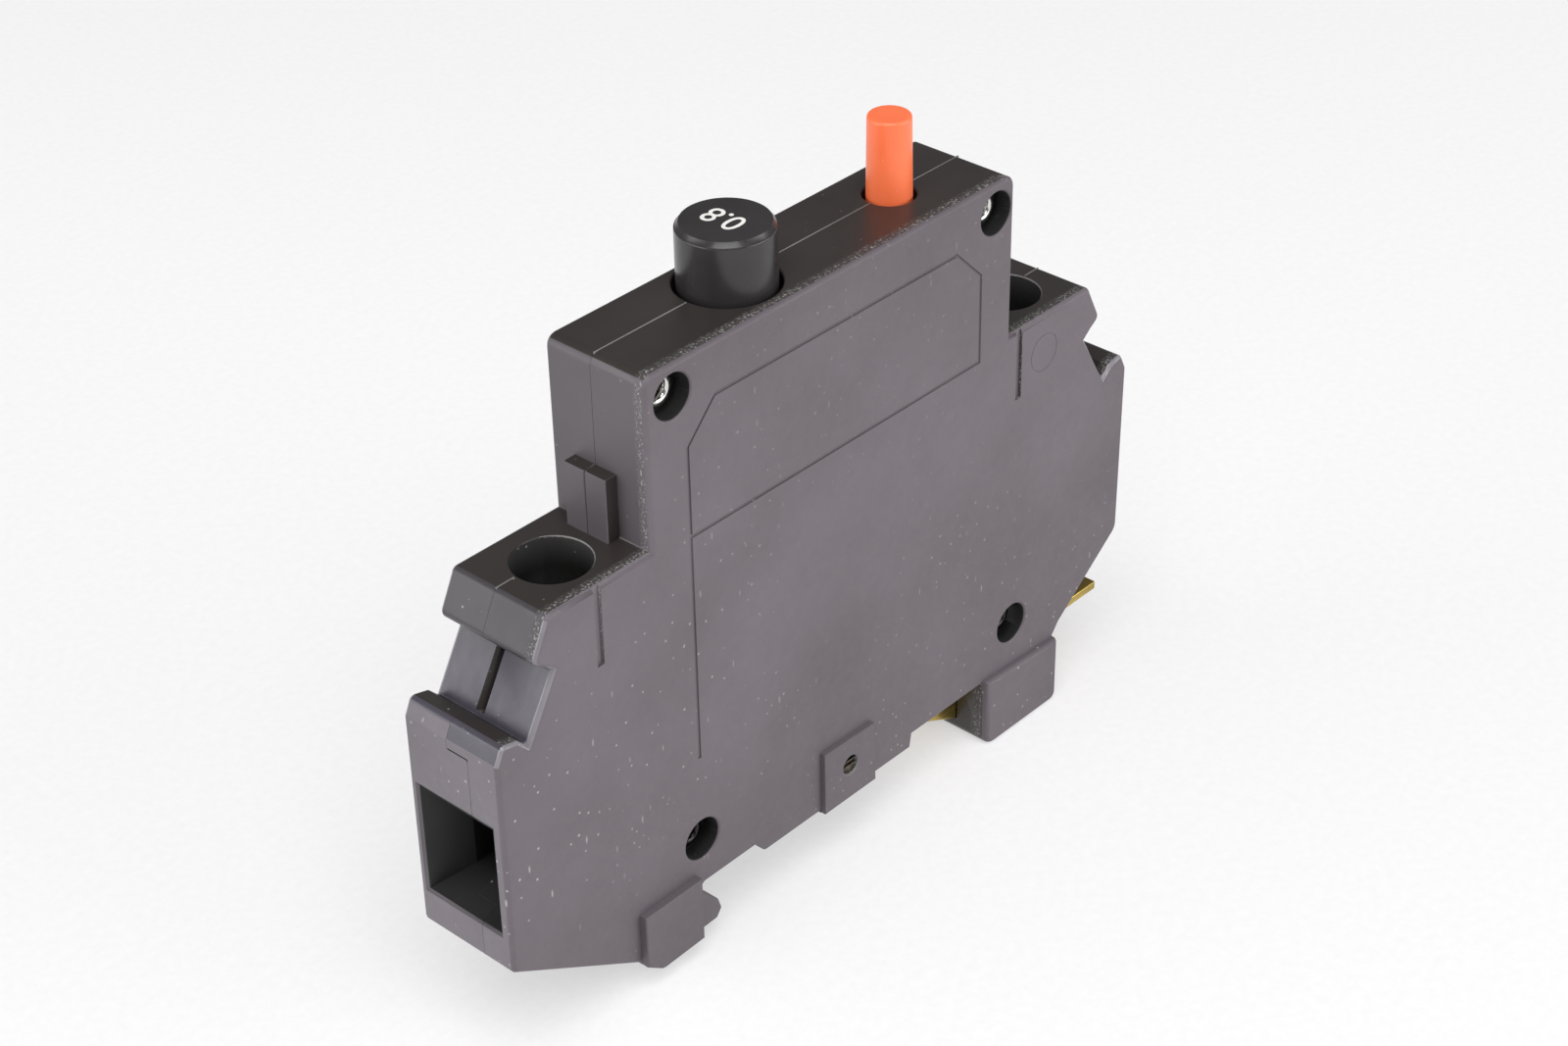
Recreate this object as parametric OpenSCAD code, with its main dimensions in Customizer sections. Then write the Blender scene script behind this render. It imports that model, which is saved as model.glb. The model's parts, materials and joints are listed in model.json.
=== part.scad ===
// Single-pole thermal circuit breaker for a 35 mm mounting rail.
// X runs along the length, Y through the thickness, Z away from the rail.
// The origin is at the bottom centre, on the plane under the rail feet.

/* [Housing] */
// length over both terminal ends
body_l = 92.8; // [77:0.2:112]
// thickness of the housing
body_w = 12.5; // [10.4:0.1:15]
// height of the top face above the feet
body_h = 68; // [56:0.5:82]
// how far each wing is set back from the end
wing_step = 7.2; // [5:0.2:9]
// how far the upper body is set back from the end
upper_step = 20.4; // [18:0.2:24]
// height from the wing top down to the terminal bar
wing_drop = 22.3; // [21:0.1:26]
// thickness of the big side walls
side_wall = 1.35; // [1:0.05:2]
// thickness of the walls round the rim
rim_wall = 1.6; // [1.2:0.1:2.4]
// where the two shells meet
parting_y = 0.5; // [-0.5:0.1:1]
// how far the raised feet stand out
foot_pad = 0.9; // [0.3:0.1:1.2]

/* [Rail] */
// width of the mounting rail
rail_w = 35; // [35:0.1:35.3]
// height of the rail seat above the feet
seat_z = 7.85; // [7:0.05:9]
// left edge of the rail when fitted
rail_left = -20.9; // [-22:0.1:-20]

/* [Buttons] */
// diameter of the reset button
reset_d = 9.6; // [8:0.1:9.8]
// how far the reset button stands out
reset_rise = 6.3; // [5:0.1:9]
// travel of the reset button
reset_travel = 3.5; // [2:0.1:4]
// diameter of the release button at its top
release_d = 4.4; // [3.6:0.1:5]
// how far the release button stands out
release_rise = 8.4; // [6:0.1:10]
// gap between a button and its hole in the housing
button_gap = 0.4; // [0.3:0.05:0.6]

/* [Terminals] */
// diameter of the terminal screw thread
screw_d = 4; // [3.5:0.1:4.2]
// diameter of the terminal screw head
head_d = 7; // [6:0.1:7.2]
// diameter of the screwdriver hole
driver_d = 7.8; // [7.4:0.1:8.2]
// thickness of the terminal bars
bar_t = 1.2; // [0.8:0.1:1.6]
// width of the terminal bars
bar_w = 5; // [4:0.1:5.6]

/* [Mechanism] */
// diameter of the contact lever pin
lever_pin_d = 2.4; // [2:0.1:3]
// diameter of the trip lever pin
trip_pin_d = 2; // [1.6:0.1:2.4]
// thickness of the bimetal strip
bimetal_t = 1; // [0.6:0.1:1.2]
// radial clearance of a running fit
fit = 0.06; // [0.03:0.01:0.1]

/* [Hidden] */
half_l = body_l / 2;
half_w = body_w / 2;
top_z = body_h;
wing_z = 49.8 + (body_h - 68) * 0.73;
bar_z = wing_z - wing_drop;
wing_x = half_l - wing_step;
upper_x = half_l - upper_step;
term_x = half_l - 13.8;
cav_y = half_w - side_wall;
fillet = 0.8;
// shells
shelf_t = 2;
block_h = 14;
well_h = block_h - shelf_t;
jog_y = -2.2;
jog_depth = 2;
// feet
foot_in = rail_left + rail_w + 8.5;
foot_out = foot_in + 12.6;
mid_z = seat_z - 1.65;
floor_step = rail_left + 31.4;
// rivets
rivet_r = 1.2;
rivet_hole = rivet_r + 0.05;
rivet_bore = 0.8;
rivet_head = 1.95;
recess_r = 2.3;
recess_near = 2.2;
recess_far = 1.6;
rivets = [
    [-upper_x + 3.5, top_z - 3.3],
    [upper_x - 2.8, top_z - 3.3],
    [rail_left, 13.5],
    [foot_in + 4.9, 13.5]
];
// reset button
reset_x = -upper_x * 0.31;
reset_r = reset_d / 2;
reset_stem = 1.8;
reset_skirt = 5;
// release button
release_x = upper_x * 0.573;
release_r = release_d / 2;
release_base = release_r + 0.1;
release_stem = 1.3;
release_flange = release_r + 1;
release_travel = 2;
release_top_wall = 2;
// contact lever
lever_x = upper_x * 0.154;
lever_arm = lever_x - reset_x;
lever_tip = lever_arm + 9;
lever_swing = reset_travel / lever_arm * 180 / PI;
lever_top = 1.2;
lever_half = 1.2;
lever_hub = 2.2;
contact_r = 1.6;
contact_h = 1.2;
contact_gap = 0.08;
lever_z = bar_z + contact_h + contact_gap + contact_r
    + lever_tip * sin(lever_swing) + contact_r * cos(lever_swing);
fixed_x = lever_x - lever_tip * cos(lever_swing) + contact_r * sin(lever_swing);
lever_pin_r = lever_pin_d / 2;
push_gap = 0.15;
// trip lever
trip_x = release_x - 7.4;
trip_z = top_z - 22;
trip_pin_r = trip_pin_d / 2;
trip_hub = 2;
trip_y0 = parting_y + 1.7;
trip_y1 = cav_y - 0.5;
// bimetal
bimetal_x = trip_x + 4;
bimetal_z = 15;
bimetal_top = trip_z - 4;
bimetal_y0 = parting_y - 2;
bimetal_y1 = parting_y + 2;
// calibration screw
cal_x = 0.5;
cal_z = 10.4;
cal_face = 1;
cal_thread = 1.6;
// terminals
cage_half = 4.2;
cage_len = 4;
cage_wall = 1.1;
cage_low = bar_z - 9.9;
cage_h = 13.4;
cage_roof = 1.4;
pocket_x = cage_len + 1.4;
pocket_y = cage_half + 0.3;
shelf_low = bar_z + 9.9;
shelf_high = shelf_low + shelf_t;
screw_r = screw_d / 2;
head_h = 3;
driver_low = shelf_high + head_h + 0.15;
head_gap = 0.1;
bar_end = term_x + 8.2;
// latch
latch_t = 1;
latch_z = seat_z + 0.45;
latch_y = 4.6;
nose_half = 3.3;
nose_top = seat_z - 1.15;
nose_low = 1.9;
nose_tip = rail_left + rail_w - 0.6;
latch_travel = 2.8;
web_x = foot_in + 1.4;
web_w = 3;
pocket_end = foot_out - 1.6;
slack = 0.1;

$fn = 64;

function unit(v) = v / norm(v);

function arc_points(a, b, c, r, n) =
    let (u = unit(a - b), v = unit(c - b))
    let (half = acos(u * v) / 2)
    let (centre = b + unit(u + v) * r / sin(half))
    let (p = b + u * r / tan(half) - centre, q = b + v * r / tan(half) - centre)
    [for (i = [0:n]) centre + unit(p * (n - i) + q * i) * r];

function rounded(pts) = let (n = len(pts)) [
    for (i = [0:n - 1])
        let (a = pts[(i + n - 1) % n], b = pts[i], c = pts[(i + 1) % n])
        each b[2] > 0
            ? arc_points([a[0], a[1]], [b[0], b[1]], [c[0], c[1]], b[2], 4)
            : [[b[0], b[1]]]
];

// the upper outline of one end, from the end face up to the top corner
end_points = [
    [half_l, bar_z + 9.6, 0.6],
    [half_l - 0.9, bar_z + 11.5, 0.7],
    [half_l - 2.9, bar_z + 11, 0.3],
    [half_l - 4, bar_z + 9.9, 0.2],
    [wing_x - 0.4, wing_z - 6.1, 0.2],
    [wing_x + 0.5, wing_z - 5.3, 0.4],
    [wing_x + 2, wing_z - 4.3, 0.8],
    [wing_x - 0.1, wing_z, 0.8],
    [upper_x, wing_z, 0.3],
    [upper_x, top_z, 1.2]
];

left_points = [for (i = [len(end_points) - 1:-1:0])
    [-end_points[i][0], end_points[i][1], end_points[i][2]]];

// the lower outline, from the left end face to the right end face
lower_points = [
    [-half_l, bar_z - 14.4, 0.8],
    [rail_left - 9.4, 3.6, 1.5],
    [rail_left - 7, 1.9, 1],
    [rail_left + 1.8, 2.1, 0.6],
    [rail_left + 2.6, 3.2, 0.5],
    [rail_left + 2.2, 4.3, 0.5],
    [rail_left - 0.6, 7.3, 0.25],
    [rail_left + 0.2, seat_z, 0.15],
    [rail_left + 7.7, seat_z, 0.3],
    [rail_left + 9.1, mid_z + 0.1, 0.5],
    [rail_left + 31.8, mid_z, 0.4],
    [rail_left + 32.1, seat_z, 0.2],
    [foot_in, seat_z, 0.3],
    [foot_in, 0, 1.2],
    [foot_out - 0.2, 0, 1],
    [foot_out, seat_z - 0.1, 0.2],
    [foot_out + 1, seat_z + 1.2, 0.4],
    [half_l - 0.3, 16.6, 1.5]
];

outline = concat(lower_points, end_points, left_points);

// lifts a flat drawing in X and Z into a slab between two Y planes
module slab(y0, y1) {
    translate([0, y1, 0])
        rotate([90, 0, 0])
            linear_extrude(y1 - y0)
                children();
}

module box(x0, x1, y0, y1, z0, z1) {
    translate([x0, y0, z0])
        cube([x1 - x0, y1 - y0, z1 - z0]);
}

module post(x, y, z0, z1, r) {
    translate([x, y, z0])
        cylinder(h = z1 - z0, r = r);
}

module pin_y(x, z, y0, y1, r) {
    translate([x, y1, z])
        rotate([90, 0, 0])
            cylinder(h = y1 - y0, r = r);
}

module both_ends() {
    children();
    mirror([1, 0, 0])
        children();
}

// a helical wire drawn as its own level section, turned as it rises
module coil(r, wire, height, turns, sides = 12) {
    rise = height / turns;
    lead = rise / 360;
    linear_extrude(height, twist = -360 * turns, slices = round(turns * 20), $fn = sides)
        polygon([for (i = [0:sides - 1])
            let (p = i * 360 / sides)
            let (rad = r + wire * cos(p), ang = wire * sin(p) / lead)
            [rad * cos(ang), rad * sin(ang)]]);
}

// the hollow for the contacts and the trip parts
module chamber() {
    x = upper_x - rim_wall;
    slab(-cav_y, cav_y)
        difference() {
            polygon([
                [-x, seat_z + 2.2],
                [rail_left + 10.4, seat_z + 2.2],
                [rail_left + 11.4, mid_z + 2.1],
                [floor_step, mid_z + 2.1],
                [floor_step + 1, seat_z + 2.2],
                [x, seat_z + 3.7],
                [x, top_z - block_h],
                [-x, top_z - block_h]
            ]);
            for (p = [rivets[2], rivets[3]])
                translate(p)
                    circle(r = recess_r + 1.2);
            translate([-x - 1, 0])
                square([x + 1 + rivets[2][0], rivets[2][1]]);
        }
}

// the funnel and the pocket for one terminal on the right
module terminal_hollow() {
    inner = half_l - 4.5;
    box(term_x - pocket_x, term_x + pocket_x, -pocket_y, pocket_y,
        cage_low - 0.6, shelf_low);
    post(term_x, 0, shelf_low - 1, shelf_high + 1, screw_r + fit);
    post(term_x, 0, shelf_high, wing_z + 1, head_d / 2 + head_gap);
    post(term_x, 0, driver_low, wing_z + 1, driver_d / 2);
    box(term_x, inner + 0.1, -3.1, 3.1, cage_low + cage_wall, bar_z - bar_t - 0.2);
    box(upper_x - rim_wall - 1, bar_end + 0.2, -bar_w / 2, bar_w / 2,
        bar_z - bar_t, bar_z);
    intersection() {
        slab(-half_w, half_w)
            polygon([
                [inner, cage_low + cage_wall],
                [half_l + 0.1, bar_z - 10.4],
                [half_l + 0.1, bar_z + 2.1],
                [inner, bar_z - bar_t - 0.2]
            ]);
        translate([0, 0, bar_z - 12])
            linear_extrude(16)
                polygon([
                    [inner, -3.1],
                    [half_l + 0.1, -half_w + 1.45],
                    [half_l + 0.1, half_w - 1.05],
                    [inner, 3.1]
                ]);
    }
}

module button_wells() {
    post(reset_x, parting_y, top_z - block_h - 1, top_z, reset_stem + fit);
    post(reset_x, parting_y, top_z - well_h, top_z + 1, reset_r + button_gap);
    post(release_x, parting_y, top_z - block_h - 1, top_z, release_stem + fit);
    post(release_x, parting_y, top_z - well_h, top_z - release_top_wall,
        release_flange + button_gap);
    post(release_x, parting_y, top_z - well_h, top_z + 1, release_base + button_gap);
}

module rivet_holes() {
    for (p = rivets) {
        pin_y(p[0], p[1], -half_w - 1, half_w + 1, rivet_hole);
        pin_y(p[0], p[1], -half_w - 1, -half_w + recess_near, recess_r);
        pin_y(p[0], p[1], half_w - recess_far, half_w + 1, recess_r);
    }
}

module pin_holes() {
    pin_y(lever_x, lever_z, -cav_y - 0.6, cav_y + 0.6, lever_pin_r);
    pin_y(trip_x, trip_z, -cav_y - 0.6, cav_y + 0.6, trip_pin_r);
}

module latch_hollow() {
    box(web_x - slack, half_l, -latch_y - slack, latch_y + slack,
        latch_z - slack, latch_z + latch_t + slack);
    box(foot_in - 1, pocket_end, parting_y - nose_half - slack,
        parting_y + nose_half + slack, nose_low - slack, nose_top + slack);
    box(web_x - slack, web_x + web_w + latch_travel + slack,
        parting_y - nose_half - slack, parting_y + nose_half + slack,
        nose_top, latch_z);
}

// the deep slit down the middle of each end notch
module notch_slits() {
    both_ends()
        slab(parting_y - 0.6, parting_y + 0.5)
            polygon([
                [wing_x + 3, bar_z + 10.4],
                [wing_x + 0.5, wing_z - 5.9],
                [wing_x - 1.4, wing_z - 6.3],
                [wing_x + 1.6, bar_z + 9.6]
            ]);
}

module inside() {
    chamber();
    both_ends()
        terminal_hollow();
    button_wells();
    rivet_holes();
    pin_holes();
    latch_hollow();
    notch_slits();
    box(-upper_x, -upper_x + 2.4, -cav_y + 0.3, cav_y - 0.3, 22, 23);
}

// the small part of each end wall that belongs to the far shell
module end_jog(gap = 0) {
    both_ends()
        box(half_l - jog_depth - gap, half_l + 1, jog_y - gap, parting_y,
            bar_z - 16, bar_z + 8.6 + gap);
}

module end_rib() {
    box(upper_x - 1, upper_x + 1.5, parting_y - 2.7, parting_y + 2.7,
        wing_z - 1, wing_z + 6.8);
}

module pads() {
    slab(-half_w - foot_pad, -half_w + 1)
        intersection() {
            polygon(rounded(outline));
            union() {
                translate([rail_left - 9.1, 0])
                    square([8, 9.6]);
                polygon([
                    [foot_in + 0.1, -1],
                    [foot_in + 0.1, seat_z + 0.6],
                    [foot_out, seat_z - 0.1],
                    [foot_out, -1]
                ]);
            }
        }
    slab(-half_w - 0.6, -half_w + 1)
        polygon([
            [cal_x - 4, mid_z + 0.1],
            [cal_x + 3.9, mid_z + 0.1],
            [cal_x + 3.7, 13.7],
            [cal_x - 4, 13.9]
        ]);
}

// shallow lines moulded into the near face
module face_lines() {
    d = 0.15;
    t = 0.4;
    y0 = -half_w - 1;
    y1 = -half_w + d;
    px = upper_x - 5.3;
    box(-px - t, -px, y0, y1, 23.5, top_z - 9.4);
    box(px, px + t, y0, y1, wing_z - 1, top_z - 9.1);
    box(-px, px, y0, y1, wing_z - 1, wing_z - 1 + t);
    box(-px + 3.6, px - 3.6, y0, y1, top_z - 5.6, top_z - 5.6 + t);
    slab(y0, y1) {
        polygon([
            [-px - t, top_z - 9.4],
            [-px, top_z - 9.4],
            [-px + 3.6, top_z - 5.6],
            [-px + 3.6, top_z - 5.6 + t]
        ]);
        polygon([
            [px + t, top_z - 9.2],
            [px, top_z - 9.2],
            [px - 3.6, top_z - 5.6],
            [px - 3.6, top_z - 5.6 + t]
        ]);
    }
    box(-term_x - 0.9, -term_x, y0, -half_w + 0.35, wing_z - 8.6, wing_z + 1);
    box(term_x - 5.6, term_x - 4.7, y0, -half_w + 0.35, wing_z - 8.1, wing_z + 1);
}

module near_shell() {
    color([0.09, 0.09, 0.09])
        difference() {
            union() {
                slab(-half_w, parting_y)
                    polygon(rounded(outline));
                pads();
                both_ends()
                    intersection() {
                        end_rib();
                        box(0, half_l, -half_w, parting_y, 0, top_z);
                    }
            }
            inside();
            end_jog(0.04);
            face_lines();
            pin_y(cal_x, cal_z, -half_w - 2, -cav_y + 1, cal_face + 0.1);
        }
}

module far_shell() {
    color([0.11, 0.11, 0.11])
        difference() {
            union() {
                slab(parting_y, half_w)
                    polygon(rounded(outline));
                intersection() {
                    slab(jog_y, parting_y)
                        polygon(rounded(outline));
                    end_jog();
                }
                both_ends()
                    intersection() {
                        end_rib();
                        box(0, half_l, parting_y, half_w, 0, top_z);
                    }
            }
            inside();
        }
}

module rivet(p) {
    color([0.8, 0.8, 0.78])
        difference() {
            union() {
                pin_y(p[0], p[1], -half_w + recess_near - 0.5,
                    half_w - recess_far + 0.5, rivet_r);
                pin_y(p[0], p[1], -half_w + recess_near - 0.5,
                    -half_w + recess_near, rivet_head);
                pin_y(p[0], p[1], half_w - recess_far,
                    half_w - recess_far + 0.5, rivet_head);
            }
            pin_y(p[0], p[1], -half_w, half_w, rivet_bore);
        }
}

module rivet_top_left() {
    rivet(rivets[0]);
}

module rivet_top_right() {
    rivet(rivets[1]);
}

module rivet_low_left() {
    rivet(rivets[2]);
}

module rivet_low_right() {
    rivet(rivets[3]);
}

module reset_button() {
    head_low = top_z - reset_skirt;
    head_high = top_z + reset_rise;
    push_z = lever_z + lever_top + lever_half + push_gap;
    color([0.07, 0.07, 0.07]) {
        translate([reset_x, parting_y, 0])
            rotate_extrude()
                difference() {
                    union() {
                        translate([0, head_low])
                            square([reset_r, head_high - head_low - 0.5]);
                        translate([0, head_high - 1])
                            square([reset_r - 0.5, 1]);
                        translate([reset_r - 0.5, head_high - 0.5])
                            circle(r = 0.5);
                        translate([0, push_z])
                            square([reset_stem, head_low - push_z + 0.1]);
                        translate([0, top_z - block_h - 1.3])
                            square([reset_stem + 0.8, 1.2]);
                    }
                    translate([-5, push_z - 1])
                        square([5, head_high]);
                }
        pin_y(reset_x, push_z, parting_y - lever_half, parting_y + lever_half,
            lever_half);
    }
}

module reset_spring() {
    color([0.7, 0.7, 0.7])
        translate([reset_x, parting_y, top_z - well_h + 0.35])
            coil(3.2, 0.3, well_h - reset_skirt - 0.7, 4.5);
}

module release_button() {
    flange_z = top_z - release_top_wall - 0.1;
    push_z = trip_z + 1 + 1 + push_gap;
    color([0.95, 0.25, 0.1]) {
        translate([release_x, parting_y, 0])
            rotate_extrude()
                union() {
                    polygon([
                        [0, flange_z - 1.2],
                        [release_base, flange_z - 1.2],
                        [release_base, top_z],
                        [release_r, top_z + release_rise - 0.35],
                        [release_r - 0.35, top_z + release_rise],
                        [0, top_z + release_rise]
                    ]);
                    translate([0, flange_z - 1.2])
                        square([release_flange, 1.2]);
                    translate([0, push_z])
                        square([release_stem, flange_z - push_z - 1]);
                }
        pin_y(release_x, push_z, parting_y - 1, parting_y + 1, 1);
    }
}

module release_spring() {
    color([0.7, 0.7, 0.7])
        translate([release_x, parting_y, top_z - well_h + 0.3])
            coil(2.1, 0.25, well_h - release_top_wall - 1.9, 6);
}

module contact_lever() {
    color([0.72, 0.45, 0.2])
        slab(parting_y - lever_half, parting_y + lever_half)
            difference() {
                union() {
                    translate([lever_x, lever_z])
                        circle(r = lever_hub);
                    translate([lever_x - lever_tip - contact_r, lever_z - 0.4])
                        square([lever_tip + contact_r, lever_top + 0.4]);
                }
                translate([lever_x, lever_z])
                    circle(r = lever_pin_r + fit);
            }
}

module moving_contact() {
    color([0.85, 0.85, 0.82])
        translate([lever_x - lever_tip, parting_y, 0]) {
            translate([0, 0, lever_z - contact_r])
                cylinder(h = contact_r - 0.4, r = contact_r);
            intersection() {
                translate([0, 0, lever_z - contact_r])
                    sphere(r = contact_r);
                post(0, 0, lever_z - contact_r * 2 - 1, lever_z - contact_r, contact_r + 1);
            }
        }
}

module lever_pin() {
    color([0.75, 0.75, 0.75])
        pin_y(lever_x, lever_z, -cav_y - 0.6, cav_y + 0.6, lever_pin_r);
}

module trip_lever() {
    color([0.85, 0.8, 0.65])
        difference() {
            union() {
                pin_y(trip_x, trip_z, trip_y0, trip_y1, trip_hub);
                box(trip_x - 1, trip_x + 1, trip_y0, trip_y1, trip_z - 6, trip_z);
                box(trip_x, trip_x + 8.8, trip_y0, trip_y1, trip_z - 0.8, trip_z + 1);
                box(trip_x + 5.6, trip_x + 8.8, parting_y - 1, trip_y0 + 1,
                    trip_z - 0.8, trip_z + 1);
            }
            pin_y(trip_x, trip_z, -half_w, half_w, trip_pin_r + fit);
        }
}

module trip_pin() {
    color([0.75, 0.75, 0.75])
        pin_y(trip_x, trip_z, -cav_y - 0.6, cav_y + 0.6, trip_pin_r);
}

module bimetal() {
    color([0.66, 0.62, 0.55])
        box(bimetal_x - bimetal_t / 2, bimetal_x + bimetal_t / 2,
            bimetal_y0, bimetal_y1, bimetal_z + 0.06, bimetal_top);
}

module heater_winding() {
    x = bimetal_t / 2;
    step = 2.4;
    count = 8;
    color([0.8, 0.72, 0.5])
        difference() {
            union() {
                for (i = [0:count - 1])
                    box(bimetal_x - x - 0.8, bimetal_x + x + 0.8, bimetal_y0 - 0.8,
                        bimetal_y1 + 0.8, bimetal_z + 2.5 + i * step,
                        bimetal_z + 3.5 + i * step);
                box(bimetal_x + x + 0.1, bimetal_x + x + 0.8, parting_y - 0.4,
                    parting_y + 0.4, bimetal_z + 2.5,
                    bimetal_z + 3.5 + (count - 1) * step);
            }
            box(bimetal_x - x, bimetal_x + x, bimetal_y0, bimetal_y1,
                bimetal_z, bimetal_top);
        }
}

module bimetal_carrier() {
    color([0.72, 0.7, 0.66])
        slab(parting_y - 0.5, parting_y + 1.5)
            polygon([
                [cal_x - 2.5, mid_z + 2.4],
                [floor_step - 0.6, mid_z + 2.4],
                [floor_step + 0.7, seat_z + 2.5],
                [bimetal_x + 6.9, seat_z + 3.5],
                [bimetal_x + 6.9, 13.4],
                [bimetal_x + 1.8, 13.4],
                [bimetal_x + 1.8, bimetal_z],
                [bimetal_x - 1.8, bimetal_z],
                [bimetal_x - 1.8, 12.4],
                [cal_x - 2.5, 12.4]
            ]);
}

module calibration_screw() {
    color([0.78, 0.75, 0.6])
        difference() {
            union() {
                pin_y(cal_x, cal_z, -half_w - 0.3, -cav_y + 0.1, cal_face);
                pin_y(cal_x, cal_z, -cav_y + 0.1, parting_y - 0.55, cal_thread);
            }
            box(cal_x - 2, cal_x + 2, -half_w - 1, -half_w + 0.3,
                cal_z - 0.2, cal_z + 0.2);
        }
}

module braid_lead() {
    r = (bimetal_x - bimetal_t / 2 - 0.65 - lever_x - 0.7) / 2;
    x = lever_x + 0.7 + r;
    z = lever_z + lever_hub + 0.6;
    color([0.72, 0.42, 0.25]) {
        translate([x, parting_y, z])
            rotate([90, 0, 0])
                rotate_extrude(angle = 180)
                    translate([r, 0])
                        circle(r = 0.45);
        post(x - r, parting_y, lever_z + lever_hub + 0.02, z + 0.3, 0.6);
        post(x + r, parting_y, z - 1.6, z + 0.3, 0.6);
    }
}

module bar_left() {
    color([0.78, 0.55, 0.3])
        box(-bar_end, fixed_x + 2.4, -bar_w / 2, bar_w / 2, bar_z - bar_t, bar_z);
}

module fixed_contact() {
    color([0.85, 0.85, 0.82])
        post(fixed_x, parting_y, bar_z, bar_z + contact_h, contact_r + 0.2);
}

module bar_right() {
    x = bimetal_x + 5.7;
    color([0.78, 0.55, 0.3])
        union() {
            box(x, bar_end, -bar_w / 2, bar_w / 2, bar_z - bar_t, bar_z);
            box(x, x + bar_t, -bar_w / 2, bar_w / 2, 13.4, bar_z);
        }
}

module cage(x) {
    color([0.76, 0.76, 0.72])
        difference() {
            box(x - cage_len, x + cage_len, -cage_half, cage_half,
                cage_low, cage_low + cage_h);
            box(x - cage_len - 1, x + cage_len + 1, -cage_half + cage_wall,
                cage_half - cage_wall, cage_low + cage_wall,
                cage_low + cage_h - cage_roof);
            post(x, 0, cage_low + cage_h - 3, cage_low + cage_h + 1, screw_r + fit);
        }
}

module cage_left() {
    cage(-term_x);
}

module cage_right() {
    cage(term_x);
}

module terminal_screw(x) {
    top = shelf_high + 0.05 + head_h;
    color([0.8, 0.8, 0.78])
        difference() {
            union() {
                post(x, 0, bar_z + 0.05, shelf_high + 0.1, screw_r);
                post(x, 0, shelf_high + 0.05, top, head_d / 2);
            }
            box(x - head_d, x + head_d, -0.5, 0.5, top - 1.3, top + 1);
            box(x - 0.5, x + 0.5, -2, 2, top - 1.3, top + 1);
        }
}

module screw_left() {
    terminal_screw(-term_x);
}

module screw_right() {
    terminal_screw(term_x);
}

module rail_latch() {
    x1 = half_l - 1.6;
    color([0.82, 0.68, 0.32])
        union() {
            box(web_x, x1, -latch_y, latch_y, latch_z, latch_z + latch_t);
            slab(parting_y - nose_half, parting_y + nose_half)
                polygon([
                    [nose_tip, nose_top],
                    [nose_tip, nose_top - 0.7],
                    [foot_in - 0.2, nose_low],
                    [web_x + web_w, nose_low],
                    [web_x + web_w, latch_z + 0.5],
                    [web_x, latch_z + 0.5],
                    [web_x, nose_top]
                ]);
        }
}

module latch_spring() {
    x0 = web_x + web_w + 0.3;
    color([0.7, 0.7, 0.7])
        translate([x0, parting_y, (nose_low + nose_top) / 2])
            rotate([0, 90, 0])
                coil(1.8, 0.25, pocket_end - x0 - 0.3, 5);
}

module arc_liner() {
    x = -upper_x + rim_wall;
    color([0.75, 0.6, 0.45])
        box(x, x + 0.8, -cav_y + 0.4, cav_y - 0.4, bar_z + 0.2, top_z - block_h - 0.5);
}

near_shell();
far_shell();
rivet_top_left();
rivet_top_right();
rivet_low_left();
rivet_low_right();
reset_button();
reset_spring();
release_button();
release_spring();
contact_lever();
moving_contact();
lever_pin();
trip_lever();
trip_pin();
bimetal();
heater_winding();
bimetal_carrier();
calibration_screw();
braid_lead();
bar_left();
fixed_contact();
bar_right();
cage_left();
cage_right();
screw_left();
screw_right();
rail_latch();
latch_spring();
arc_liner();
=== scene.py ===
import json
import math
import bpy
from mathutils import Matrix, Vector

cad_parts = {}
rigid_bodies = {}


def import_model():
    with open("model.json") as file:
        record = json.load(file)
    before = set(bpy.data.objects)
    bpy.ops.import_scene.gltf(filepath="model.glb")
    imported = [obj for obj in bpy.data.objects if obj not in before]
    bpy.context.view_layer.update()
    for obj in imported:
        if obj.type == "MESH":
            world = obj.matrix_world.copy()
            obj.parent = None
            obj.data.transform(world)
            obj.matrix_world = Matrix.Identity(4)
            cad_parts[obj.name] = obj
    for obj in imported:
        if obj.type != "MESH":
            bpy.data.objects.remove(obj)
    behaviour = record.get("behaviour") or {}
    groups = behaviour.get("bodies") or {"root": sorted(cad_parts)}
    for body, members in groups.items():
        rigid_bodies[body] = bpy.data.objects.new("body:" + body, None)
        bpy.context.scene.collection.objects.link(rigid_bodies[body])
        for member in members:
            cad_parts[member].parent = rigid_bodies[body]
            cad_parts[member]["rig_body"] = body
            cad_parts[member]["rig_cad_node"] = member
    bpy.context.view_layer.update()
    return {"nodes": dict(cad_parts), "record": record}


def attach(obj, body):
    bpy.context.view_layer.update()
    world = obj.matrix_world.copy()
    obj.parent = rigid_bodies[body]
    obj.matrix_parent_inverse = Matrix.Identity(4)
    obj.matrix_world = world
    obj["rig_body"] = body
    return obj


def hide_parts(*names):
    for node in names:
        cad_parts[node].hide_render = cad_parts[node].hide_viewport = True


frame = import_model()

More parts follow.
